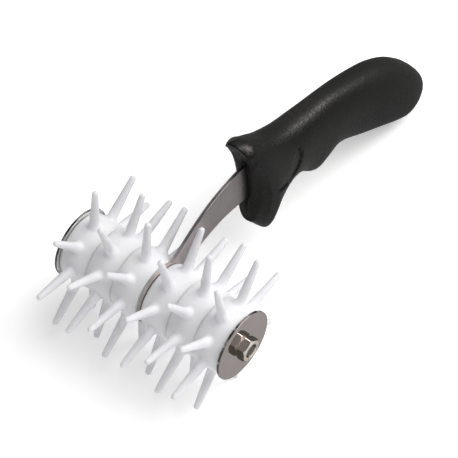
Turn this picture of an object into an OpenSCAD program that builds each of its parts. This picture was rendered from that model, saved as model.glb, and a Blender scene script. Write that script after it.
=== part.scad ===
// Dough docker: two spiked rollers on one cross axle, with a flat steel shank
// between them and a moulded grip. X runs along the axle, +Y runs back towards
// the grip, +Z is up. The origin is the middle of the axle.

/* [Rollers] */
// Width of one star wheel along the axle
wheel_w = 14.1; // [12:0.1:15]
// Radius of the hub at its crown
hub_r = 15.6; // [14:0.1:17]
// Radius of the hub at its two faces
hub_face_r = 15.0; // [13:0.1:15.5]
// Number of pins on one wheel
pins = 8; // [6:1:10]
// Distance from the axle to the tip of a pin
pin_reach = 36.8; // [30:0.1:40]
// Radius of a pin just above its small root fillet
pin_root_r = 2.2; // [1.6:0.1:2.6]
// Radius of the rounded tip of a pin
pin_tip_r = 1.35; // [0.8:0.05:1.6]
// How far the ring of pins stands off the middle of its wheel, towards -X
pin_offset = 0.4; // [0:0.1:1]
// Half of the space that the shank leaves between the two rollers
half_gap = 1.25; // [1:0.05:2]

/* [Axle] */
// Diameter of the axle
axle_d = 6; // [5:0.5:8]
// Outer diameter of the distance tubes that the wheels turn on
tube_d = 9; // [8:0.5:11]
// Radial running clearance between a tube and a wheel
run_gap = 0.06; // [0.02:0.01:0.1]
// Diameter of the end discs
disc_d = 33; // [28:0.5:36]
// Thickness of the end discs
disc_t = 1.2; // [0.8:0.1:2]
// Width of the axle nuts across their flats
nut_af = 10; // [8:0.5:13]
// Height of the axle nuts
nut_h = 4.5; // [3:0.1:6]

/* [Shank] */
// Thickness of the steel plate
plate_t = 1.5; // [1:0.1:2]
// Radius of the plate's round head
head_r = 15; // [12:0.5:17]

/* [Grip] */
// Points around one cross section of the grip
grip_points = 28; // [16:4:36]
// Steps between two stations of the grip
grip_steps = 2; // [1:1:3]

/* [Hidden] */

bore_r = tube_d / 2 + run_gap;
end_play = 0.25;
disc_in = half_gap + 3 * wheel_w + end_play;   // inner face of an end disc
disc_out = disc_in + disc_t;

// Turn of each wheel as the tool lies at rest, in degrees. Neighbours are half
// a pin apart, give or take the play of the pegs that key them together.
turn_left = [-5.5, 17, -4.5];    // inner, middle, outer
turn_right = [13.5, -10, 10];    // inner, middle, outer

peg_at = 10.5;    // radius of the ring that the keying pegs stand on
peg_r = 1.5;
peg_l = 1.6;
peg_play = 0.6;
root_w = 1.3;     // how far a pin's root fillet spreads
root_h = 2.2;     // and how high it climbs

// Stations of the grip, front to back: top point (y, z), bottom point (y, z),
// half width, and how far its sides sweep back for each square millimetre.
GRIP = [
  [54, 40.5, 60.5, -7.5, 0.5, 0.08],
  [54, 41.5, 60.3, -8.2, 3, 0.08],
  [53.5, 43, 59.6, -8.2, 6.4, 0.08],
  [52, 45.5, 62.4, -12, 8.6, 0.082],
  [50, 49, 64.6, -15.2, 9.6, 0.08],
  [51.7, 49.6, 68.2, -19.4, 10.3, 0.07],
  [56, 48.3, 70.6, -16.5, 10.6, 0.05],
  [62.5, 44, 73.5, -10, 10.6, 0.03],
  [71.4, 38.3, 78.4, -3.4, 10.3, 0.015],
  [84, 33.4, 84.4, -0.4, 9.8, 0],
  [98, 30.7, 91.5, -3, 9.5, 0],
  [110, 28.8, 100.4, -10.6, 9.6, 0],
  [118.6, 26.9, 105.2, -9.5, 9.6, 0],
  [128.8, 23.9, 112.4, -6.4, 9.6, 0],
  [140.5, 19.9, 121, -8.6, 9.9, 0],
  [152, 14.8, 134, -15.8, 10.6, 0],
  [163.7, 7, 148.4, -23.4, 11.1, 0],
  [173.8, -2.7, 160.4, -29.8, 11, 0],
  [180, -10.7, 167.8, -33.4, 9.8, 0],
  [183.6, -16.7, 174.9, -33.9, 7.8, 0],
  [185.4, -22.1, 179.5, -33.6, 5, 0],
  [185.5, -25.5, 183, -30, 1.6, 0]
];
bulge = 2.35;     // 2 is an ellipse, more is squarer

// Edges of the steel strap, as (y, z) points from the head to the end of the tang
UPPER = [[2, 6], [7.5, 12.8], [14.5, 17.2], [21.5, 21.3], [28, 24.7], [34.5, 27.4],
         [41.5, 29.3], [48, 30.4], [54, 30.8],
         [62, 30], [68, 24.5], [80, 22.5], [100, 18.5], [120, 13], [134, 8.5]];
LOWER = [[132, -1], [118, 2.5], [98, 7], [80, 10.5], [68, 11.5], [62, 9], [52, 9.6],
         [43, 10.2], [36, 9.4], [28, 7.6], [20, 3.5], [12, -4], [4, -8]];
TANG_HOLES = [[84, 16.2], [112, 9.8]];
tang_hole_r = 2.6;

function pick(a, i) = a[min(max(i, 0), len(a) - 1)];
function bend(a, b, c, d, t) =
  0.5 * (2 * b + (c - a) * t + (2 * a - 5 * b + 4 * c - d) * t * t
         + (3 * b - a - 3 * c + d) * t * t * t);
function curve(p, n) = concat(
  [for (i = [0 : len(p) - 2], j = [0 : n - 1])
     bend(pick(p, i - 1), p[i], p[i + 1], pick(p, i + 2), j / n)],
  [p[len(p) - 1]]);

function ring(s, n) =
  let (cy = (s[0] + s[2]) / 2, cz = (s[1] + s[3]) / 2,
       hy = (s[0] - s[2]) / 2, hz = (s[1] - s[3]) / 2, l = norm([hy, hz]))
  [for (i = [0 : n - 1])
     let (a = 360 * i / n,
          x = sign(cos(a)) * pow(abs(cos(a)), 2 / bulge) * s[4],
          b = sign(sin(a)) * pow(abs(sin(a)), 2 / bulge),
          o = s[5] * x * x * (1 - b * b))
     [x, cy + b * hy + o * hz / l, cz + b * hz - o * hy / l]];

module grip_body() {
  st = curve(GRIP, grip_steps);
  n = grip_points;
  m = len(st);
  pts = [for (s = st) each ring(s, n)];
  sides = [for (i = [0 : m - 2], j = [0 : n - 1])
             each [[i * n + j, (i + 1) * n + j, (i + 1) * n + (j + 1) % n],
                   [i * n + j, (i + 1) * n + (j + 1) % n, i * n + (j + 1) % n]]];
  polyhedron(points = pts,
             faces = concat(sides, [[for (j = [0 : n - 1]) j]],
                            [[for (j = [n - 1 : -1 : 0]) (m - 1) * n + j]]));
}

// The steel strap with its tang, without the round head
module strap(t) {
  rotate([90, 0, 90])
    translate([0, 0, -t / 2])
      linear_extrude(t)
        difference() {
          polygon(concat(curve(UPPER, 4), curve(LOWER, 4)));
          for (p = TANG_HOLES) translate(p) circle(r = tang_hole_r, $fn = 32);
        }
}

module handle() {
  color([0.15, 0.15, 0.14])
    difference() {
      grip_body();
      strap(plate_t);
    }
}

module shank_plate() {
  color([0.55, 0.52, 0.51])
    difference() {
      union() {
        strap(plate_t);
        rotate([0, 90, 0]) cylinder(r = head_r, h = plate_t, center = true, $fn = 96);
      }
      rotate([0, 90, 0]) cylinder(r = axle_d / 2 + 0.02, h = 4, center = true, $fn = 48);
    }
}

module axle() {
  reach = disc_out + nut_h - 0.4;
  color([0.62, 0.6, 0.58])
    rotate([0, 90, 0]) {
      cylinder(r = axle_d / 2, h = 2 * reach - 1, center = true, $fn = 48);
      for (s = [0, 1]) mirror([0, 0, s])
        translate([0, 0, reach - 0.5])
          cylinder(r1 = axle_d / 2, r2 = axle_d / 2 - 0.5, h = 0.5, $fn = 48);
    }
}

module spacer_tube(s) {
  color([0.62, 0.6, 0.58])
    mirror([s, 0, 0])
      translate([plate_t / 2, 0, 0])
        rotate([0, 90, 0])
          difference() {
            cylinder(r = tube_d / 2, h = disc_in - plate_t / 2, $fn = 64);
            translate([0, 0, -1]) cylinder(r = axle_d / 2 + 0.02, h = disc_in + 2, $fn = 48);
          }
}

// One pin, standing on the axis of its own wheel and pointing along +Y
module pin() {
  root = 14;
  tip = pin_reach - pin_tip_r;
  rotate([-90, 0, 0])
    rotate_extrude($fn = 32)
      polygon(concat(
        [[0, root - 1], [pin_root_r + root_w, root - 1], [pin_root_r + root_w, root + 1.1]],
        [for (i = [1 : 5]) let (a = 90 * i / 6)
           [pin_root_r + root_w * (1 - sin(a)), root + 1.1 + root_h * (1 - cos(a))]],
        [[pin_root_r - 0.05, root + 1.5 + root_h]],
        [for (i = [0 : 5]) let (a = 90 * i / 6)
           [pin_tip_r * cos(a), tip + pin_tip_r * sin(a)]],
        [[0, pin_reach]]));
}

// One star wheel between x = 0 and x = wheel_w. Four pegs on its +X face fit four
// of the eight sockets in the next wheel's -X face, which sets them half a pin apart.
module star_wheel(pegs, sockets) {
  w = wheel_w;
  difference() {
    union() {
      rotate([90, 0, 90])
        rotate_extrude($fn = 96)
          polygon(concat([[bore_r, 0], [hub_face_r - 0.5, 0]],
            [for (i = [0 : 8])
               let (u = i / 8)
               [hub_face_r + (hub_r - hub_face_r) * sin(180 * u), 0.5 + (w - 1) * u]],
            [[hub_face_r - 0.5, w], [bore_r, w]]));
      for (i = [0 : pins - 1])
        rotate([360 * i / pins, 0, 0]) translate([w / 2 - pin_offset, 0, 0]) pin();
      if (pegs)
        for (i = [0 : 3]) rotate([90 * i, 0, 0])
          translate([w - 0.5, peg_at, 0])
            rotate([0, 90, 0]) cylinder(r = peg_r, h = peg_l + 0.5, $fn = 32);
    }
    if (sockets)
      for (i = [0 : 7]) rotate([45 * i + 22.5, 0, 0])
        translate([-1, peg_at, 0])
          rotate([0, 90, 0]) cylinder(r = peg_r + peg_play, h = peg_l + 1.4, $fn = 32);
  }
}

module wheel(side, place) {
  turn = side > 0 ? turn_right[place] : turn_left[place];
  start = side > 0 ? half_gap + place * wheel_w : -half_gap - (place + 1) * wheel_w;
  color([0.95, 0.95, 0.96])
    rotate([turn, 0, 0])
      translate([start, 0, 0])
        star_wheel(side > 0 ? place < 2 : place > 0, side > 0 ? place > 0 : place < 2);
}

module end_disc(s) {
  c = 0.25;
  color([0.6, 0.57, 0.55])
    mirror([s, 0, 0])
      translate([disc_in, 0, 0])
        rotate([90, 0, 90])
          rotate_extrude($fn = 128)
            polygon([[axle_d / 2 + 0.02, 0], [disc_d / 2 - c, 0], [disc_d / 2, c],
                     [disc_d / 2, disc_t - c], [disc_d / 2 - c, disc_t],
                     [axle_d / 2 + 0.02, disc_t]]);
}

module axle_nut(s) {
  color([0.5, 0.47, 0.43])
    mirror([s, 0, 0])
      translate([disc_out, 0, 0])
        rotate([115 * (1 - 2 * s), 0, 0])
          rotate([0, 90, 0])
            difference() {
              intersection() {
                rotate([0, 0, 0]) cylinder(r = nut_af / 2 / cos(30), h = nut_h, $fn = 6);
                rotate_extrude($fn = 64)
                  polygon([[0, 0], [nut_af / 2 - 0.1, 0], [nut_af / 2 + 0.8, 0.5],
                           [nut_af / 2 + 0.8, nut_h - 0.5], [nut_af / 2 - 0.1, nut_h],
                           [0, nut_h]]);
              }
              translate([0, 0, -1]) cylinder(r = axle_d / 2 + 0.02, h = nut_h + 2, $fn = 48);
              translate([0, 0, nut_h - 0.5])
                cylinder(r1 = axle_d / 2 + 0.02, r2 = axle_d / 2 + 0.6, h = 0.6, $fn = 48);
            }
}

handle();
shank_plate();
axle();
spacer_tube(1);  // spacer_tube_left
spacer_tube(0);  // spacer_tube_right
wheel(-1, 2);  // wheel_left_outer
wheel(-1, 1);  // wheel_left_middle
wheel(-1, 0);  // wheel_left_inner
wheel(1, 0);  // wheel_right_inner
wheel(1, 1);  // wheel_right_middle
wheel(1, 2);  // wheel_right_outer
end_disc(1);  // end_disc_left
end_disc(0);  // end_disc_right
axle_nut(1);  // axle_nut_left
axle_nut(0);  // axle_nut_right
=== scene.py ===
import math

import bmesh
import bpy
from mathutils import Matrix, Vector
from mathutils.geometry import tessellate_polygon


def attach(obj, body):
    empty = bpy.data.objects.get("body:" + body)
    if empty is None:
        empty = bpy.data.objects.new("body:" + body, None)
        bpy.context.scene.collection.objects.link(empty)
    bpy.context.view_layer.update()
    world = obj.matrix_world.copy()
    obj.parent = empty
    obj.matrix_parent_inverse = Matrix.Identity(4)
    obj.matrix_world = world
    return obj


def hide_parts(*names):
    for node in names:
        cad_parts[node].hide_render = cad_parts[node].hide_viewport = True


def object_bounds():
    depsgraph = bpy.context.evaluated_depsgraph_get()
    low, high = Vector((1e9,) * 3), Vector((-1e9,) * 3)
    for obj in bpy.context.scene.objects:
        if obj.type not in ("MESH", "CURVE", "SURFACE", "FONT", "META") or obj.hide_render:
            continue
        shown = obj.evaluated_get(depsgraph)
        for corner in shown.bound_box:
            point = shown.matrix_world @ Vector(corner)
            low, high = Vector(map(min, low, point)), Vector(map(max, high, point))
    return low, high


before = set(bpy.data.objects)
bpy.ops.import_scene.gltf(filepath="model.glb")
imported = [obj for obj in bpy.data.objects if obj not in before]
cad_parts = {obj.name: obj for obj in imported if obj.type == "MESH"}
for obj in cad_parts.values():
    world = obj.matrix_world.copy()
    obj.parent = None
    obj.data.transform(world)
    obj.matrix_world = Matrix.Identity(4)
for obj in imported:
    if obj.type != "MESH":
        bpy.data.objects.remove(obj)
CAD_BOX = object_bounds()
MM = 0.001
scene = bpy.context.scene
scene.view_settings.view_transform = "Standard"
scene.view_settings.look = "None"

# ---------------------------------------------------------------- helpers


def new_object(name, bm, sharp=32.0):
    """Turns a bmesh into an object. Edges sharper than the angle stay crisp."""
    bmesh.ops.recalc_face_normals(bm, faces=bm.faces)
    for f in bm.faces:
        f.smooth = True
    for e in bm.edges:
        if len(e.link_faces) == 2:
            e.smooth = e.calc_face_angle(0.0) < math.radians(sharp)
    me = bpy.data.meshes.new(name)
    bm.to_mesh(me)
    bm.free()
    ob = bpy.data.objects.new(name, me)
    scene.collection.objects.link(ob)
    return ob


def place(ob, body, nodes, material):
    ob.data.materials.clear()
    ob.data.materials.append(material)
    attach(ob, body)
    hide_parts(*nodes)
    return ob


def grid_faces(bm, rings, closed=True):
    """Quads between neighbouring rings of vertices."""
    for a, b in zip(rings, rings[1:]):
        n = len(a)
        for i in range(n if closed else n - 1):
            j = (i + 1) % n
            quad = []
            for v in (a[i], a[j], b[j], b[i]):
                if v not in quad:
                    quad.append(v)
            if len(quad) > 2:
                bm.faces.new(quad)


def lathe_x(bm, profile, n, x0=0.0, sign=1.0):
    """Revolves (x, r) points in mm about the X axis into closed rings."""
    rings = []
    for x, r in profile:
        rings.append([
            bm.verts.new(((x0 + sign * x) * MM,
                          r * math.cos(2 * math.pi * i / n) * MM,
                          r * math.sin(2 * math.pi * i / n) * MM))
            for i in range(n)])
    grid_faces(bm, rings)
    return rings


# ---------------------------------------------------------------- materials


class Nodes:
    """A small help to wire a node material."""

    def __init__(self, name):
        self.m = bpy.data.materials.new(name)
        self.m.use_nodes = True
        self.t = self.m.node_tree
        self.p = self.t.nodes["Principled BSDF"]

    def add(self, kind, **sets):
        n = self.t.nodes.new(kind)
        for k, v in sets.items():
            setattr(n, k, v)
        return n

    def link(self, a, b):
        self.t.links.new(a, b)

    def coords(self, scale):
        tc = self.add("ShaderNodeTexCoord")
        mp = self.add("ShaderNodeMapping")
        mp.inputs["Scale"].default_value = scale
        self.link(tc.outputs["Object"], mp.inputs["Vector"])
        return mp.outputs["Vector"]

    def noise(self, vector, scale, detail=4.0, rough=0.55):
        n = self.add("ShaderNodeTexNoise")
        n.inputs["Scale"].default_value = scale
        n.inputs["Detail"].default_value = detail
        n.inputs["Roughness"].default_value = rough
        self.link(vector, n.inputs["Vector"])
        return n.outputs["Fac"]

    def ramp(self, fac, stops):
        r = self.add("ShaderNodeValToRGB")
        el = r.color_ramp.elements
        el[0].position, el[0].color = stops[0][0], (*stops[0][1], 1)
        el[1].position, el[1].color = stops[-1][0], (*stops[-1][1], 1)
        for pos, col in stops[1:-1]:
            e = el.new(pos)
            e.color = (*col, 1)
        self.link(fac, r.inputs["Fac"])
        return r.outputs["Color"]

    def span(self, fac, a, b, lo=0.0, hi=1.0):
        r = self.add("ShaderNodeMapRange")
        r.inputs["From Min"].default_value = lo
        r.inputs["From Max"].default_value = hi
        r.inputs["To Min"].default_value = a
        r.inputs["To Max"].default_value = b
        self.link(fac, r.inputs["Value"])
        return r.outputs["Result"]

    def bump(self, height, strength, distance, normal=None):
        b = self.add("ShaderNodeBump")
        b.inputs["Strength"].default_value = strength
        b.inputs["Distance"].default_value = distance
        self.link(height, b.inputs["Height"])
        if normal is not None:
            self.link(normal, b.inputs["Normal"])
        return b.outputs["Normal"]


def grip_material():
    """Black moulded plastic with a fine pebble grain, polished by hands in front, and painted
    highlights on the lip and along the ridge.
    """
    k = Nodes("grip_black")
    v = k.coords((1, 1, 1))
    cloud = k.noise(v, 60.0, 3.0)
    fine = k.noise(v, 1900.0, 3.0, 0.6)
    pebble = k.noise(v, 820.0, 2.0, 0.55)
    black = k.ramp(cloud, [(0.3, (0.0050, 0.0050, 0.0044)), (0.7, (0.0068, 0.0068, 0.0062))])
    along = k.add("ShaderNodeSeparateXYZ")
    k.link(v, along.inputs["Vector"])
    worn = k.span(along.outputs["Y"], 0.0, 0.13, 0.112, 0.145)
    # speckled sheen where hands rub it most, on the faces that look up
    tc = k.add("ShaderNodeTexCoord")
    turned = k.add("ShaderNodeSeparateXYZ")
    k.link(tc.outputs["Normal"], turned.inputs["Vector"])
    speckle = k.add("ShaderNodeMath", operation="MULTIPLY")
    k.link(k.span(k.noise(v, 950.0, 2.0, 0.6), -0.17, 0.17, 0.36, 0.64), speckle.inputs[0])
    k.link(k.span(turned.outputs["Z"], 0.3, 1.0, 0.35, 0.7), speckle.inputs[1])
    base = k.add("ShaderNodeMath", operation="ADD")
    base.inputs[1].default_value = 0.38
    k.link(speckle.outputs["Value"], base.inputs[0])
    rough = k.add("ShaderNodeMath", operation="ADD")
    k.link(base.outputs["Value"], rough.inputs[0])
    k.link(worn, rough.inputs[1])
    # cheeks of the lip, rubbed bright
    side = k.add("ShaderNodeMath", operation="ABSOLUTE")
    k.link(along.outputs["X"], side.inputs[0])
    spot = k.add("ShaderNodeCombineXYZ")
    k.link(side.outputs["Value"], spot.inputs["X"])
    k.link(along.outputs["Y"], spot.inputs["Y"])
    k.link(along.outputs["Z"], spot.inputs["Z"])
    away = k.add("ShaderNodeVectorMath", operation="DISTANCE")
    away.inputs[1].default_value = (0.0047, 0.0548, 0.047)
    k.link(spot.outputs["Vector"], away.inputs[0])
    cheeks = k.add("ShaderNodeMath", operation="ADD")
    k.link(rough.outputs["Value"], cheeks.inputs[0])
    k.link(k.span(away.outputs["Value"], -0.07, 0.0, 0.002, 0.0065), cheeks.inputs[1])
    # a painted highlight on the cheeks of the lip: a speckled pale patch in the base colour
    nose_highlight_dist = k.add("ShaderNodeVectorMath", operation="DISTANCE")
    nose_highlight_dist.inputs[1].default_value = (0.0047, 0.0544, 0.0472)
    k.link(spot.outputs["Vector"], nose_highlight_dist.inputs[0])
    nose_highlight = k.add("ShaderNodeMath", operation="MULTIPLY")
    k.link(k.span(nose_highlight_dist.outputs["Value"], 1.0, 0.0, 0.0008, 0.0030), nose_highlight.inputs[0])
    highlight_grain = k.noise(v, 1300.0, 2.0, 0.6)
    k.link(k.span(highlight_grain, 0.05, 1.0, 0.42, 0.6), nose_highlight.inputs[1])
    # and a painted highlight along the ridge, on the faces that look up
    ridge = k.add("ShaderNodeMath", operation="SUBTRACT")
    ridge.inputs[1].default_value = 0.0033
    k.link(side.outputs["Value"], ridge.inputs[0])
    beside = k.add("ShaderNodeMath", operation="ABSOLUTE")
    k.link(ridge.outputs["Value"], beside.inputs[0])
    ridge_highlight = k.add("ShaderNodeMath", operation="MULTIPLY")
    k.link(k.span(beside.outputs["Value"], 0.2, 0.0, 0.0010, 0.0036), ridge_highlight.inputs[0])
    k.link(k.span(highlight_grain, 0.0, 1.0, 0.44, 0.6), ridge_highlight.inputs[1])
    reach = k.add("ShaderNodeMath", operation="MULTIPLY")
    k.link(ridge_highlight.outputs["Value"], reach.inputs[0])
    k.link(k.span(along.outputs["Y"], 0.0, 1.0, 0.076, 0.090), reach.inputs[1])
    fade = k.add("ShaderNodeMath", operation="MULTIPLY")
    k.link(reach.outputs["Value"], fade.inputs[0])
    k.link(k.span(along.outputs["Y"], 1.0, 0.0, 0.106, 0.120), fade.inputs[1])
    above = k.add("ShaderNodeMath", operation="MULTIPLY")
    k.link(fade.outputs["Value"], above.inputs[0])
    k.link(k.span(turned.outputs["Z"], 0.0, 1.0, 0.4, 0.6), above.inputs[1])
    painted_highlight = k.add("ShaderNodeMath", operation="MAXIMUM")
    k.link(nose_highlight.outputs["Value"], painted_highlight.inputs[0])
    k.link(above.outputs["Value"], painted_highlight.inputs[1])
    # the black is mixed towards pale where the painted highlights lie
    tone = k.add("ShaderNodeMix", data_type="RGBA")
    k.link(painted_highlight.outputs["Value"], tone.inputs["Factor"])
    k.link(black, tone.inputs["A"])
    tone.inputs["B"].default_value = (0.105, 0.088, 0.086, 1)
    k.link(tone.outputs["Result"], k.p.inputs["Base Color"])
    # the crease below the lip keeps the smooth skin of the mould
    level = k.add("ShaderNodeMath", operation="SUBTRACT")
    level.inputs[1].default_value = 0.0403
    k.link(along.outputs["Z"], level.inputs[0])
    near = k.add("ShaderNodeMath", operation="ABSOLUTE")
    k.link(level.outputs["Value"], near.inputs[0])
    crease = k.add("ShaderNodeMath", operation="MULTIPLY")
    k.link(k.span(near.outputs["Value"], -0.24, 0.0, 0.0016, 0.0034), crease.inputs[0])
    k.link(k.span(along.outputs["Y"], 1.0, 0.0, 0.0555, 0.0575), crease.inputs[1])
    dull = k.add("ShaderNodeMath", operation="ADD")
    k.link(cheeks.outputs["Value"], dull.inputs[0])
    k.link(crease.outputs["Value"], dull.inputs[1])
    k.link(dull.outputs["Value"], k.p.inputs["Roughness"])
    b1 = k.bump(pebble, 1.0, 0.00016)
    k.link(k.bump(fine, 0.6, 0.00008, b1), k.p.inputs["Normal"])
    k.p.inputs["Specular IOR Level"].default_value = 0.3
    return k.m


def wheel_material():
    k = Nodes("wheel_white")
    v = k.coords((1, 1, 1))
    cloud = k.noise(v, 90.0, 3.0)
    fine = k.noise(v, 1400.0, 3.0, 0.6)
    part = k.add("ShaderNodeSeparateXYZ")
    k.link(v, part.inputs["Vector"])
    flat = k.add("ShaderNodeCombineXYZ")
    k.link(part.outputs["Y"], flat.inputs["Y"])
    k.link(part.outputs["Z"], flat.inputs["Z"])
    out = k.add("ShaderNodeVectorMath", operation="LENGTH")
    k.link(flat.outputs["Vector"], out.inputs[0])
    # the pins are painted greyer than the solid hub: a painted shade for the light that the thin pins
    # let through
    mix = k.add("ShaderNodeMix", data_type="RGBA")
    k.link(k.span(out.outputs["Value"], 0.0, 1.0, 0.0165, 0.0215), mix.inputs["Factor"])
    k.link(k.ramp(cloud, [(0.3, (0.765, 0.765, 0.785)), (0.7, (0.79, 0.79, 0.806))]), mix.inputs["A"])
    k.link(k.ramp(cloud, [(0.3, (0.66, 0.66, 0.685)), (0.7, (0.69, 0.69, 0.71))]), mix.inputs["B"])
    k.link(mix.outputs["Result"], k.p.inputs["Base Color"])
    k.link(k.span(cloud, 0.46, 0.58, 0.3, 0.7), k.p.inputs["Roughness"])
    k.link(k.bump(fine, 0.25, 0.00004), k.p.inputs["Normal"])
    k.link(k.span(out.outputs["Value"], 1.0, 0.5, 0.0165, 0.0215), k.p.inputs["Subsurface Weight"])
    k.p.inputs["Subsurface Radius"].default_value = (0.96, 0.96, 1.0)
    k.p.inputs["Subsurface Scale"].default_value = 0.005
    k.p.inputs["IOR"].default_value = 1.5
    return k.m


def steel_material(name, lo, hi, rough, grain, bump, stretch, mouth_shade_and_rim=False):
    """Metal with fine lines of polish along one axis, faint clouds and scratches."""
    k = Nodes(name)
    v = k.coords((1, 1, 1))
    g = k.coords(stretch)
    cloud = k.noise(v, 70.0, 3.0)
    lines = k.noise(g, grain, 5.0, 0.65)
    colour = k.ramp(cloud, [(0.3, lo), (0.7, hi)])
    if mouth_shade_and_rim:
        # painted shade along the mouth of the grip, for the guard's shadow and dark reflection on the
        # plate; it leans back with height
        part = k.add("ShaderNodeSeparateXYZ")
        k.link(v, part.inputs["Vector"])
        lean = k.add("ShaderNodeMath", operation="MULTIPLY_ADD")
        k.link(part.outputs["Z"], lean.inputs[0])
        lean.inputs[1].default_value = 0.115
        k.link(part.outputs["Y"], lean.inputs[2])
        mix = k.add("ShaderNodeMix", data_type="RGBA")
        k.link(k.span(lean.outputs["Value"], 0.0, 1.0, 0.0562, 0.062), mix.inputs["Factor"])
        k.link(colour, mix.inputs["A"])
        mix.inputs["B"].default_value = (0.08, 0.076, 0.076, 1)
        colour = mix.outputs["Result"]
    shine = k.span(lines, rough[0], rough[1], 0.3, 0.7)
    if mouth_shade_and_rim:
        # the round head was sheared, so its rim is matt and pale
        flat = k.add("ShaderNodeCombineXYZ")
        k.link(part.outputs["Y"], flat.inputs["Y"])
        k.link(part.outputs["Z"], flat.inputs["Z"])
        out = k.add("ShaderNodeVectorMath", operation="LENGTH")
        k.link(flat.outputs["Vector"], out.inputs[0])
        rim = k.add("ShaderNodeMath", operation="MULTIPLY")
        k.link(k.span(out.outputs["Value"], 0.0, 1.0, 0.01485, 0.01495), rim.inputs[0])
        head = k.add("ShaderNodeMath", operation="MULTIPLY")
        k.link(rim.outputs["Value"], head.inputs[0])
        k.link(k.span(out.outputs["Value"], 1.0, 0.0, 0.0152, 0.018), head.inputs[1])
        facing = k.add("ShaderNodeSeparateXYZ")
        k.link(k.add("ShaderNodeTexCoord").outputs["Normal"], facing.inputs["Vector"])
        side = k.add("ShaderNodeMath", operation="ABSOLUTE")
        k.link(facing.outputs["X"], side.inputs[0])
        edge = k.add("ShaderNodeMath", operation="MULTIPLY")
        k.link(head.outputs["Value"], edge.inputs[0])
        k.link(k.span(side.outputs["Value"], 1.0, 0.0, 0.4, 0.8), edge.inputs[1])
        head = edge
        pale = k.add("ShaderNodeMix", data_type="RGBA")
        k.link(head.outputs["Value"], pale.inputs["Factor"])
        k.link(colour, pale.inputs["A"])
        pale.inputs["B"].default_value = (0.62, 0.57, 0.52, 1)
        colour = pale.outputs["Result"]
        k.link(k.span(head.outputs["Value"], 1.0, 0.25), k.p.inputs["Metallic"])
        matt = k.add("ShaderNodeMath", operation="MULTIPLY_ADD")
        k.link(head.outputs["Value"], matt.inputs[0])
        matt.inputs[1].default_value = 0.2
        k.link(shine, matt.inputs[2])
        shine = matt.outputs["Value"]
    else:
        k.p.inputs["Metallic"].default_value = 1.0
    k.link(colour, k.p.inputs["Base Color"])
    k.link(shine, k.p.inputs["Roughness"])
    k.link(k.bump(lines, bump, 0.00003), k.p.inputs["Normal"])
    return k.m


def disc_material():
    """Polished outer face, plain inner face, and a darker rim."""
    k = Nodes("disc_steel")
    v = k.coords((1, 1, 1))
    cloud = k.noise(v, 70.0, 3.0)
    lines = k.noise(v, 420.0, 5.0, 0.65)
    part = k.add("ShaderNodeSeparateXYZ")
    k.link(v, part.inputs["Vector"])
    deep = k.add("ShaderNodeMath", operation="ABSOLUTE")
    k.link(part.outputs["X"], deep.inputs[0])
    flat = k.add("ShaderNodeCombineXYZ")
    k.link(part.outputs["Y"], flat.inputs["Y"])
    k.link(part.outputs["Z"], flat.inputs["Z"])
    out = k.add("ShaderNodeVectorMath", operation="LENGTH")
    k.link(flat.outputs["Vector"], out.inputs[0])
    inner = k.add("ShaderNodeMix", data_type="RGBA")
    k.link(k.span(deep.outputs["Value"], 1.0, 0.0, 0.04385, 0.04395), inner.inputs["Factor"])
    k.link(k.ramp(cloud, [(0.3, (0.81, 0.73, 0.70)), (0.7, (0.87, 0.79, 0.76))]), inner.inputs["A"])
    inner.inputs["B"].default_value = (0.74, 0.74, 0.74, 1)
    rim = k.add("ShaderNodeMix", data_type="RGBA")
    k.link(k.span(out.outputs["Value"], 0.0, 1.0, 0.01642, 0.01648), rim.inputs["Factor"])
    k.link(inner.outputs["Result"], rim.inputs["A"])
    rim.inputs["B"].default_value = (0.42, 0.40, 0.385, 1)
    k.link(rim.outputs["Result"], k.p.inputs["Base Color"])
    k.link(k.span(lines, 0.03, 0.08, 0.3, 0.7), k.p.inputs["Roughness"])
    k.link(k.bump(lines, 0.05, 0.00003), k.p.inputs["Normal"])
    k.p.inputs["Metallic"].default_value = 1.0
    return k.m


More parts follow.
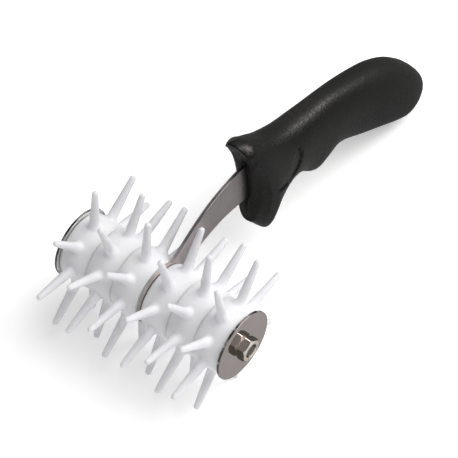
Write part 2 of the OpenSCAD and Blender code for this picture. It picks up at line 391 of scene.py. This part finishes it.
def nut_material():
    """Plated nut: flats of dull plating, end faces painted pale as a painted reflection of the bright
    floor, and painted highlights on one flat and its chamfers.
    """
    k = Nodes("nut_steel")
    v = k.coords((1, 1, 1))
    cloud = k.noise(v, 240.0, 3.0)
    lines = k.noise(k.coords((4.0, 1.0, 1.0)), 500.0, 5.0, 0.65)
    along = k.add("ShaderNodeSeparateXYZ")
    k.link(v, along.inputs["Vector"])
    out = k.add("ShaderNodeMath", operation="ABSOLUTE")
    k.link(along.outputs["X"], out.inputs[0])
    # the end faces are painted pale and made less metallic: a painted reflection of the bright floor
    mix = k.add("ShaderNodeMix", data_type="RGBA")
    k.link(k.span(out.outputs["Value"], 0.0, 1.0, 0.04905, 0.04935), mix.inputs["Factor"])
    k.link(k.ramp(cloud, [(0.3, (0.20, 0.19, 0.155)), (0.7, (0.31, 0.295, 0.245))]), mix.inputs["A"])
    k.link(k.ramp(cloud, [(0.3, (0.52, 0.46, 0.41)), (0.7, (0.74, 0.66, 0.60))]), mix.inputs["B"])
    # painted highlights: the chamfers beside one flat are painted bright, and that flat, picked by the
    # way it faces, is painted pale as a painted reflection
    tc = k.add("ShaderNodeTexCoord")
    facing = k.add("ShaderNodeSeparateXYZ")
    k.link(tc.outputs["Normal"], facing.inputs["Vector"])
    slope = k.add("ShaderNodeMath", operation="ABSOLUTE")
    k.link(facing.outputs["X"], slope.inputs[0])
    cone = k.add("ShaderNodeMath", operation="MULTIPLY")
    k.link(k.span(slope.outputs["Value"], 0.0, 1.0, 0.5, 0.66), cone.inputs[0])
    k.link(k.span(slope.outputs["Value"], 1.0, 0.0, 0.92, 0.97), cone.inputs[1])
    lit_flat_mask = k.add("ShaderNodeVectorMath", operation="DOT_PRODUCT")
    lit_flat_mask.inputs[1].default_value = (0.0, -0.4226, 0.9063)
    k.link(tc.outputs["Normal"], lit_flat_mask.inputs[0])
    flat = k.add("ShaderNodeMix", data_type="RGBA")
    k.link(k.span(lit_flat_mask.outputs["Value"], 0.0, 1.0, 0.94, 0.985), flat.inputs["Factor"])
    bright = k.add("ShaderNodeMath", operation="MULTIPLY")
    k.link(cone.outputs["Value"], bright.inputs[0])
    k.link(k.span(lit_flat_mask.outputs["Value"], 0.0, 1.0, 0.30, 0.52), bright.inputs[1])
    k.link(mix.outputs["Result"], flat.inputs["A"])
    flat.inputs["B"].default_value = (0.95, 0.88, 0.86, 1)
    turned = k.add("ShaderNodeMix", data_type="RGBA")
    k.link(bright.outputs["Value"], turned.inputs["Factor"])
    k.link(flat.outputs["Result"], turned.inputs["A"])
    turned.inputs["B"].default_value = (0.72, 0.66, 0.61, 1)
    k.link(turned.outputs["Result"], k.p.inputs["Base Color"])
    k.link(k.span(lines, 0.04, 0.11, 0.3, 0.7), k.p.inputs["Roughness"])
    k.link(k.bump(lines, 0.08, 0.00003), k.p.inputs["Normal"])
    dull = k.add("ShaderNodeMath", operation="MULTIPLY")
    k.link(k.span(out.outputs["Value"], 1.0, 0.5, 0.04912, 0.04935), dull.inputs[0])
    k.link(k.span(bright.outputs["Value"], 1.0, 0.4), dull.inputs[1])
    k.link(dull.outputs["Value"], k.p.inputs["Metallic"])
    return k.m


GRIP = grip_material()
WHITE = wheel_material()
PLATE = steel_material("shank_steel", (0.52, 0.465, 0.468), (0.6, 0.55, 0.552),
                       (0.26, 0.36), 260.0, 0.14, (1.0, 1.0, 9.0), True)
DISC = disc_material()
NUT = nut_material()
ROD = steel_material("axle_steel", (0.2, 0.185, 0.16), (0.28, 0.26, 0.23),
                     (0.18, 0.34), 400.0, 0.2, (8.0, 1.0, 1.0))

# ---------------------------------------------------------------- grip

STATIONS = [
    (54, 40.5, 59.5, -7.3, 0.5, 0.07),
    (54, 41.5, 59.4, -7.9, 3, 0.07),
    (53.5, 43, 59.4, -8.1, 6.5, 0.07),
    (52, 45.5, 62.4, -12, 8.6, 0.072),
    (50, 49, 64.6, -15.2, 9.6, 0.072),
    (51.7, 49.6, 68.2, -19.4, 10.3, 0.07),
    (56, 48.3, 70.6, -16.5, 10.6, 0.05),
    (62.5, 44, 73.5, -10, 10.6, 0.03),
    (71.4, 38.3, 78.4, -3.4, 10.3, 0.015),
    (84, 33.4, 84.4, -0.4, 9.8, 0),
    (98, 30.7, 91.5, -3, 9.5, 0),
    (110, 28.8, 100.4, -10.6, 9.6, 0),
    (118.6, 26.9, 105.2, -9.5, 9.6, 0),
    (128.8, 23.9, 112.4, -6.4, 9.6, 0),
    (140.5, 19.9, 121, -8.6, 9.9, 0),
    (152, 14.8, 134, -15.8, 10.6, 0),
    (163.7, 7, 148.4, -23.4, 11.1, 0),
    (173.8, -2.7, 160.4, -29.8, 11, 0),
    (180, -10.7, 167.8, -33.4, 9.8, 0),
    (183.6, -16.7, 174.9, -33.9, 7.8, 0),
    (185.4, -22.1, 179.5, -33.6, 5, 0),
    (185.5, -25.5, 183, -30, 1.6, 0),
]
BULGE = 2.35


def bend(a, b, c, d, t):
    return [0.5 * (2 * q + (r - p) * t + (2 * p - 5 * q + 4 * r - s) * t * t
                   + (3 * q - p - 3 * r + s) * t ** 3)
            for p, q, r, s in zip(a, b, c, d)]


def curve(points, n):
    out = []
    last = len(points) - 1
    for i in range(last):
        for j in range(n):
            out.append(bend(points[max(i - 1, 0)], points[i], points[i + 1],
                            points[min(i + 2, last)], j / n))
    out.append(list(points[-1]))
    return out


def smooth(e0, e1, x):
    t = min(max((x - e0) / (e1 - e0), 0.0), 1.0)
    return t * t * (3 - 2 * t)


def crisp_curve(points, n, at, amount):
    """The same curve, with a crease where it passes the point with index at."""
    last = len(points) - 1

    def slope(i, ahead):
        a, b, c = points[max(i - 1, 0)], points[i], points[min(i + 1, last)]
        k = amount if i == at else 0.0
        return [(r - p) / 2 * (1 - k) + ((r - q) if ahead else (q - p)) * k
                for p, q, r in zip(a, b, c)]

    out = []
    for i in range(last):
        m0, m1 = slope(i, True), slope(i + 1, False)
        for j in range(n):
            t = j / n
            out.append([(2 * t ** 3 - 3 * t * t + 1) * p + (t ** 3 - 2 * t * t + t) * u
                        + (3 * t * t - 2 * t ** 3) * q + (t ** 3 - t * t) * v
                        for p, u, q, v in zip(points[i], m0, points[i + 1], m1)])
    out.append(list(points[-1]))
    return out


def wedge(x):
    """How far the sides sweep back: a blunt V, where the CAD solid has a parabola."""
    return 13.06 * (math.sqrt(x * x + 9.0) - 3.0)


def build_grip():
    bm = bmesh.new()
    n = 192
    rings = []
    for ty, tz, by, bz, w, sweep in crisp_curve(STATIONS, 10, 4, 0.9):
        cy, cz, hy, hz = (ty + by) / 2, (tz + bz) / 2, (ty - by) / 2, (tz - bz) / 2
        length = math.hypot(hy, hz)
        ring = []
        for i in range(n):
            a = 2 * math.pi * i / n
            c, s = math.cos(a), math.sin(a)
            x = math.copysign(abs(c) ** (2 / BULGE), c) * w
            b = math.copysign(abs(s) ** (2 / BULGE), s)
            o = sweep * wedge(x) * (1 - b * b)
            y = cy + b * hy + o * hz / length
            z = cz + b * hz - o * hy / length
            # crease under the lip of the guard, and the lip's undercut above it
            front = (1 - smooth(55.5, 57.0, y)) * (1 - smooth(6.0, 9.0, abs(x)))
            y += front * (0.8 * math.exp(-((z - 41.0) / (1.0 if z > 41 else 9.0)) ** 2)
                          - 0.45 * math.exp(-((z - 44.0) / 1.6) ** 2))
            # slight sink around the plate where it enters
            sink = 2.3 * math.exp(-(x / 3.2) ** 2) * smooth(0, 12, z) * smooth(38, 31, z)
            y += sink * (1 - smooth(61.0, 63.0, y))
            # rounded cheek on each side of the lip
            cheek = 0.95 * math.exp(-(math.dist((abs(x), y, z), (6.9, 55.9, 45.6)) / 3.0) ** 2)
            x += math.copysign(0.35 * cheek, x)
            y -= 0.2 * cheek
            z += 0.62 * cheek
            # shallow thumb and finger recess on each flank, with a crisp rear edge
            if abs(x) > 3:
                dy, dz = y - 74.8, z - 19.5
                r = math.hypot(dy, dz)
                ang = math.degrees(math.atan2(dz, dy))
                arc = smooth(38, 18, ang) * smooth(-135, -112, ang)
                inside = 1 - smooth(10.3, 10.75, r)
                depth = 0.5 * arc * inside * smooth(1.0, 9.5, r)
                groove = 0.9 * arc * math.exp(-((r - 10.2) / 0.42) ** 2)
                x -= math.copysign((depth + groove) * smooth(3, 7, abs(x)), x)
            ring.append(bm.verts.new((x * MM, min(y, 185.55) * MM, min(z, 49.59) * MM)))
        rings.append(ring)
    grid_faces(bm, rings)
    bm.faces.new(rings[0])
    bm.faces.new(rings[-1])
    return new_object("grip", bm, 60)


grip = build_grip()
place(grip, "frame", ["handle"], GRIP)

# ---------------------------------------------------------------- shank

UPPER = [(2, 6), (7.5, 12.8), (14.5, 17.2), (21.5, 21.3), (28, 24.7), (34.5, 27.4),
         (41.5, 29.3), (48, 30.4), (54, 30.8),
         (62, 30), (68, 24.5), (80, 22.5), (100, 18.5), (120, 13), (134, 8.5)]
LOWER = [(132, -1), (118, 2.5), (98, 7), (80, 10.5), (68, 11.5), (62, 9), (52, 9.6),
         (43, 10.2), (36, 9.4), (28, 7.6), (20, 3.5), (12, -4), (4, -8)]
HEAD_R = 15.0


def plate_outline():
    """Round head and strap in one loop of (y, z) points."""
    up = [p for p in curve(UPPER, 10) if math.hypot(*p) > HEAD_R + 0.1]
    lo = [p for p in curve(LOWER, 10) if math.hypot(*p) > HEAD_R + 0.1]
    a0 = math.atan2(up[0][1], up[0][0])
    a1 = math.atan2(lo[-1][1], lo[-1][0]) + 2 * math.pi
    n = 150
    head = [(HEAD_R * math.cos(a1 + (a0 - a1) * i / n), HEAD_R * math.sin(a1 + (a0 - a1) * i / n))
            for i in range(n + 1)]
    return [tuple(p) for p in up] + [tuple(p) for p in lo] + head


def inset(loop, d):
    """Moves each point of a closed loop inwards by d, along its own normal."""
    area = sum(a[0] * b[1] - b[0] * a[1] for a, b in zip(loop, loop[1:] + loop[:1]))
    s = 1 if area > 0 else -1
    out = []
    n = len(loop)
    for i in range(n):
        (x0, y0), (x1, y1) = loop[i - 1], loop[(i + 1) % n]
        tx, ty = x1 - x0, y1 - y0
        length = math.hypot(tx, ty) or 1.0
        out.append((loop[i][0] - s * ty / length * d, loop[i][1] + s * tx / length * d))
    return out


def circle_loop(cy, cz, r, n=64):
    return [(cy + r * math.cos(2 * math.pi * i / n), cz + r * math.sin(2 * math.pi * i / n))
            for i in range(n)]


def build_plate():
    t, bev = 1.5, 0.07
    outer = plate_outline()
    clean = []
    for p in outer:
        if not clean or math.hypot(p[0] - clean[-1][0], p[1] - clean[-1][1]) > 0.05:
            clean.append(p)
    loops = [(clean, 1)] + [(circle_loop(0, 0, 3.02), -1), (circle_loop(84, 16.2, 2.6), -1),
                            (circle_loop(112, 9.8, 2.6), -1)]
    bm = bmesh.new()
    ends = {1: [], -1: []}
    for loop, way in loops:
        rings = []
        steps = [(-t / 2, bev), (-t / 2 + bev * 0.29, bev * 0.29), (-t / 2 + bev, 0),
                 (t / 2 - bev, 0), (t / 2 - bev * 0.29, bev * 0.29), (t / 2, bev)]
        for x, d in steps:
            pts = inset(loop, d * way)
            rings.append([bm.verts.new((x * MM, y * MM, z * MM)) for y, z in pts])
        grid_faces(bm, rings)
        ends[-1].append(rings[0])
        ends[1].append(rings[-1])
    for side in (-1, 1):
        flat = [v for ring in ends[side] for v in ring]
        tris = tessellate_polygon([[Vector((v.co.y, v.co.z, 0)) * 1000 for v in ring]
                                   for ring in ends[side]])
        for a, b, c in tris:
            try:
                bm.faces.new((flat[a], flat[b], flat[c]))
            except ValueError:
                pass
    return new_object("shank", bm, 20)


shank = build_plate()
place(shank, "frame", ["shank_plate"], PLATE)

# ---------------------------------------------------------------- star wheels

W = 14.1
HALF_GAP = 1.25
EDGE = 0.32
SLIT = 0.05
FACE_R = 15.0
CROWN = 0.6
PINS = 8
REACH = 36.8
TIP_R = 1.35
ROOT_R = 2.2
ROOT_W = 1.5
ROOT_H = 2.3
OFFSET = 0.4
BORE_R = 4.56


def hub_r(x):
    u = min(max((x - SLIT - EDGE) / (W - 2 * (SLIT + EDGE)), 0.0), 1.0)
    return FACE_R + CROWN * math.sin(math.pi * u)


def build_wheel(name, start, turn):
    """One moulded wheel between start and start + W along the axle. Each of its
    eight cells runs from the tip of a pin down its fillet and out over the hub."""
    bm = bmesh.new()
    arc = math.pi / PINS
    wide = FACE_R * arc
    mid = W / 2 - OFFSET
    lo, hi = SLIT + EDGE, W - SLIT - EDGE
    c_hi = math.atan2(wide, hi - mid)
    c_lo = math.atan2(wide, mid - lo)
    marks = [-c_hi, 0.0, c_hi, math.pi / 2, math.pi - c_lo, math.pi, math.pi + c_lo,
             1.5 * math.pi, 2 * math.pi - c_hi]
    psi = []
    for q in range(8):
        psi += [marks[q] + (marks[q + 1] - marks[q]) * i / 6 for i in range(6)]

    def box_reach(s):
        c, sn = math.cos(s), math.sin(s)
        side = (hi - mid) if c > 0 else (mid - lo)
        return min(side / max(abs(c), 1e-9), wide / max(abs(sn), 1e-9))

    rim = {0: [], 1: []}
    for s in psi:
        c, sn = math.cos(s), math.sin(s)
        far = box_reach(s)
        if abs(far * c - (hi - mid)) < 1e-6:
            rim[1].append(far * sn / wide * arc)
        if abs(far * c + (mid - lo)) < 1e-6:
            rim[0].append(far * sn / wide * arc)

    def surface(rho, s, lift):
        t = rho * math.sin(s)
        x = mid + rho * math.cos(s)
        return x, t, math.sqrt(max(hub_r(x) ** 2 - t * t, 1.0)) + lift

    for pin in range(PINS):
        base = math.radians(turn) + 2 * math.pi * pin / PINS

        def vert(x, t, r):
            # t runs round the axle, r away from it, at the pin's own angle
            y = r * math.cos(base) - t * math.sin(base)
            z = r * math.sin(base) + t * math.cos(base)
            return bm.verts.new(((start + x) * MM, y * MM, z * MM))

        tip = REACH - TIP_R
        rings = [[vert(mid, 0, REACH)] * len(psi)]
        for i in range(1, 8):
            a = math.pi / 2 * (1 - i / 7)
            rho, r = TIP_R * math.cos(a), tip + TIP_R * math.sin(a)
            rings.append([vert(mid + rho * math.cos(s), rho * math.sin(s), r) for s in psi])
        for i in range(1, 11):
            u = i / 11
            rho = TIP_R + (ROOT_R - TIP_R) * u
            rings.append([vert(mid + rho * math.cos(s), rho * math.sin(s),
                               tip + (surface(ROOT_R, s, ROOT_H)[2] - tip) * u) for s in psi])
        for i in range(0, 9):
            a = math.pi / 2 * i / 8
            rho = ROOT_R + ROOT_W * (1 - math.cos(a))
            rings.append([vert(*surface(rho, s, ROOT_H * (1 - math.sin(a)))) for s in psi])
        rho = ROOT_R + ROOT_W
        for i in range(1, 7):
            u = i / 6
            ring = []
            for s in psi:
                c, sn = math.cos(s), math.sin(s)
                far = box_reach(s)
                th0 = math.asin(rho * sn / hub_r(mid + rho * c))
                x = rho * c + (far * c - rho * c) * u
                th = th0 + (far * sn / wide * arc - th0) * u
                r = hub_r(mid + x)
                ring.append(vert(mid + x, r * math.sin(th), r * math.cos(th)))
            rings.append(ring)
        grid_faces(bm, rings)
        # rounded rims and the two faces, in to the bore
        for end in (0, 1):
            loop = sorted(rim[end])
            profile = [(EDGE * (1 - math.sin(math.pi / 2 * i / 4)),
                        FACE_R - EDGE * (1 - math.cos(math.pi / 2 * i / 4))) for i in range(5)]
            profile += [(0.0, 12.5), (0.0, 8.0), (0.0, BORE_R + 0.3), (0.3, BORE_R),
                        (W / 2 - SLIT, BORE_R)]
            rows = []
            for px, pr in profile:
                x = SLIT + px if end == 0 else W - SLIT - px
                rows.append([vert(x, pr * math.sin(th), pr * math.cos(th)) for th in loop])
            for ra, rb in zip(rows, rows[1:]):
                for i in range(len(loop) - 1):
                    bm.faces.new((ra[i], ra[i + 1], rb[i + 1], rb[i]))
    bmesh.ops.remove_doubles(bm, verts=bm.verts, dist=4e-6)
    return new_object(name, bm, 40)


TURN = {-1: (-5.5, 17, -4.5), 1: (13.5, -10, 10)}
PLACES = ("inner", "middle", "outer")
for side, word in ((-1, "left"), (1, "right")):
    for where, label in enumerate(PLACES):
        start = HALF_GAP + where * W if side > 0 else -HALF_GAP - (where + 1) * W
        wheel = build_wheel(f"star_wheel_{word}_{label}", start, TURN[side][where])
        place(wheel, f"roller_{word}", [f"wheel_{word}_{label}"], WHITE)

# ---------------------------------------------------------------- end discs, nuts

DISC_IN = HALF_GAP + 3 * W + 0.25
DISC_T = 1.2
DISC_OUT = DISC_IN + DISC_T


def build_disc(name, side):
    bm = bmesh.new()
    r, b = 16.5, 0.15
    profile = [(0, 3.02), (0, 8), (0, 13), (0, r - b)]
    profile += [(b - b * math.cos(math.pi / 2 * i / 5), r - b + b * math.sin(math.pi / 2 * i / 5))
                for i in range(1, 6)]
    profile += [(DISC_T - b + b * math.sin(math.pi / 2 * i / 5),
                 r - b + b * math.cos(math.pi / 2 * i / 5)) for i in range(0, 6)]
    profile += [(DISC_T, 13), (DISC_T, 8), (DISC_T, 3.02)]
    rings = lathe_x(bm, profile, 192, side * DISC_IN, side)
    grid_faces(bm, [rings[-1], rings[0]])
    return new_object(name, bm, 24)


def build_nut(name, side, turn):
    bm = bmesh.new()
    af, h, n = 10.0, 4.5, 144
    cone = 1 / math.tan(math.radians(38))

    def hexr(a):
        s = (a + math.pi / 6) % (math.pi / 3) - math.pi / 6
        r = af / 2 / math.cos(s)
        return r - 0.03 * math.exp(-((abs(s) - math.pi / 6) / 0.02) ** 2)

    levels = [0.0, 0.1, 0.2, 0.3, 0.42, 0.54, 0.66, 0.8, 0.95, 1.3, 2.25]
    levels += [h - v for v in levels[:-1]][::-1]
    rings = []
    face_r = af / 2 - 0.35

    def ring(level, radius):
        return [bm.verts.new((side * (DISC_OUT + level) * MM,
                              radius(2 * math.pi * i / n) * math.cos(2 * math.pi * i / n + turn) * MM,
                              radius(2 * math.pi * i / n) * math.sin(2 * math.pi * i / n + turn) * MM))
                for i in range(n)]

    rings.append(ring(0.25, lambda a: 3.02))
    rings.append(ring(0.0, lambda a: 3.5))
    rings.append(ring(0.0, lambda a: face_r - 0.5))
    for level in levels:
        d = min(level, h - level)
        rings.append(ring(level, lambda a, d=d: min(hexr(a), face_r + d * cone)))
    rings.append(ring(h, lambda a: face_r - 0.5))
    rings.append(ring(h, lambda a: 3.65))
    rings.append(ring(h - 0.5, lambda a: 3.05))
    # thread crests inside the mouth
    for i in range(1, 7):
        rings.append(ring(h - 0.5 - 0.25 * i, lambda a, i=i: 3.16 if i % 2 else 3.02))
    grid_faces(bm, rings)
    grid_faces(bm, [rings[-1], rings[0]])
    return new_object(name, bm, 26)


for side, word in ((-1, "left"), (1, "right")):
    place(build_disc(f"disc_{word}", side), "frame", [f"end_disc_{word}"], DISC)
    place(build_nut(f"nut_{word}", side, math.radians(115)), "frame", [f"axle_nut_{word}"],
          NUT)

for node in ("axle", "spacer_tube_left", "spacer_tube_right"):
    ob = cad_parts[node]
    ob.data.materials.clear()
    ob.data.materials.append(ROD)

# ---------------------------------------------------------------- stage

low = CAD_BOX[0][2]


def floor_material():
    k = Nodes("pale_floor")
    v = k.coords((1, 1, 1))
    k.link(k.ramp(k.noise(v, 8.0, 2.0), [(0.3, (0.93, 0.93, 0.93)), (0.7, (0.95, 0.95, 0.95))]),
           k.p.inputs["Base Color"])
    k.p.inputs["Roughness"].default_value = 0.8
    k.p.inputs["Specular IOR Level"].default_value = 0.1
    k.p.inputs["Emission Color"].default_value = (1.0, 1.0, 1.0, 1.0)
    k.p.inputs["Emission Strength"].default_value = 0.25
    return k.m


bpy.ops.mesh.primitive_plane_add(size=8.0, location=(0, 0, low - 0.0002))
floor = bpy.context.object
floor.name = "floor"
floor.data.materials.append(floor_material())
floor.visible_glossy = False

world = bpy.data.worlds.new("studio")
scene.world = world
world.use_nodes = True
wt = world.node_tree
wbg = wt.nodes["Background"]
wco = wt.nodes.new("ShaderNodeTexCoord")
wsep = wt.nodes.new("ShaderNodeSeparateXYZ")
wup = wt.nodes.new("ShaderNodeValToRGB")
stops = [(0.0, 0.31), (0.25, 0.3), (0.45, 0.18), (0.56, 0.16), (0.8, 0.66), (1.0, 1.0)]
wup.color_ramp.elements[0].position = stops[0][0]
wup.color_ramp.elements[0].color = (stops[0][1],) * 3 + (1,)
wup.color_ramp.elements[1].position = stops[-1][0]
wup.color_ramp.elements[1].color = (stops[-1][1],) * 3 + (1,)
for at, level in stops[1:-1]:
    el = wup.color_ramp.elements.new(at)
    el.color = (level,) * 3 + (1,)
whalf = wt.nodes.new("ShaderNodeMapRange")
whalf.inputs["From Min"].default_value = -1.0
whalf.inputs["From Max"].default_value = 1.0
wback = wt.nodes.new("ShaderNodeMapRange")
wback.inputs["From Min"].default_value = -1.0
wback.inputs["From Max"].default_value = 1.0
wback.inputs["To Min"].default_value = 0.65
wback.inputs["To Max"].default_value = 1.15
wside = wt.nodes.new("ShaderNodeMapRange")
wside.inputs["From Min"].default_value = -1.0
wside.inputs["From Max"].default_value = 1.0
wside.inputs["To Min"].default_value = 0.7
wside.inputs["To Max"].default_value = 1.3
wm1 = wt.nodes.new("ShaderNodeMath")
wm1.operation = "MULTIPLY"
wm2 = wt.nodes.new("ShaderNodeMath")
wm2.operation = "MULTIPLY"
wm3 = wt.nodes.new("ShaderNodeMath")
wm3.operation = "MULTIPLY"
wdot = wt.nodes.new("ShaderNodeVectorMath")
wdot.operation = "DOT_PRODUCT"
wdot.inputs[1].default_value = (-0.392, -0.167, 0.905)
wflag = wt.nodes.new("ShaderNodeMapRange")
wflag.interpolation_type = "SMOOTHSTEP"
wflag.inputs["From Min"].default_value = 0.8
wflag.inputs["From Max"].default_value = 0.95
wflag.inputs["To Min"].default_value = 1.0
wflag.inputs["To Max"].default_value = 0.12
wlens = wt.nodes.new("ShaderNodeVectorMath")
wlens.operation = "DOT_PRODUCT"
wlens.inputs[1].default_value = (0.394, -0.3, 0.869)
wshade = wt.nodes.new("ShaderNodeMapRange")
wshade.interpolation_type = "SMOOTHSTEP"
wshade.inputs["From Min"].default_value = 0.93
wshade.inputs["From Max"].default_value = 0.985
wshade.inputs["To Min"].default_value = 1.0
wshade.inputs["To Max"].default_value = 0.22
wm4 = wt.nodes.new("ShaderNodeMath")
wm4.operation = "MULTIPLY"
wt.links.new(wco.outputs["Generated"], wlens.inputs[0])
wt.links.new(wlens.outputs["Value"], wshade.inputs["Value"])
wt.links.new(wco.outputs["Generated"], wsep.inputs["Vector"])
wt.links.new(wsep.outputs["Z"], whalf.inputs["Value"])
wt.links.new(whalf.outputs["Result"], wup.inputs["Fac"])
wt.links.new(wsep.outputs["Y"], wback.inputs["Value"])
wt.links.new(wsep.outputs["X"], wside.inputs["Value"])
wt.links.new(wback.outputs["Result"], wm1.inputs[0])
wt.links.new(wside.outputs["Result"], wm1.inputs[1])
wt.links.new(wm1.outputs["Value"], wm2.inputs[0])
wt.links.new(wup.outputs["Color"], wm2.inputs[1])
wt.links.new(wco.outputs["Generated"], wdot.inputs[0])
wt.links.new(wdot.outputs["Value"], wflag.inputs["Value"])
wt.links.new(wm2.outputs["Value"], wm3.inputs[0])
wt.links.new(wflag.outputs["Result"], wm3.inputs[1])
wt.links.new(wm3.outputs["Value"], wm4.inputs[0])
wt.links.new(wshade.outputs["Result"], wm4.inputs[1])
wt.links.new(wm4.outputs["Value"], wbg.inputs["Strength"])
wbg.inputs["Color"].default_value = (1.0, 0.99, 0.985, 1)


def area(name, location, target, size, power, colour=(1, 1, 1)):
    data = bpy.data.lights.new(name, "AREA")
    data.shape = "RECTANGLE"
    data.size, data.size_y = size
    data.energy = power
    data.color = colour
    ob = bpy.data.objects.new(name, data)
    scene.collection.objects.link(ob)
    ob.location = location
    ob.rotation_euler = (Vector(target) - Vector(location)).to_track_quat("-Z", "Y").to_euler()
    return ob


area("key", (0.46, 0.92, 0.72), (0, 0.05, 0), (0.5, 0.5), 4.4, (1.0, 0.99, 0.98))
area("top", (0.66, 0.42, 1.5), (0, 0.05, 0), (1.5, 1.5), 20.0)

fill = area("fill", (-0.4, -1.0, 1.0), (0, 0, 0), (1.2, 0.8), 1.6)
fill.visible_glossy = False

cam_data = bpy.data.cameras.new("camera")
cam = bpy.data.objects.new("camera", cam_data)
scene.collection.objects.link(cam)
cam_data.sensor_fit = "AUTO"
cam_data.sensor_width = 36.0
cam_data.lens = 36.0 * 2780.83 / 458.0
cam_data.clip_start = 0.05
cam_data.clip_end = 20.0
right = Vector((0.781375, 0.624062, 0.0))
up = Vector((-0.48419, 0.606244, 0.630895))
back = Vector((0.393718, -0.492966, 0.775868))
rot = Matrix((right, up, back)).transposed()
cam.matrix_world = Matrix.Translation((0.474577, -0.547437, 0.933187)) @ rot.to_4x4()
scene.camera = cam
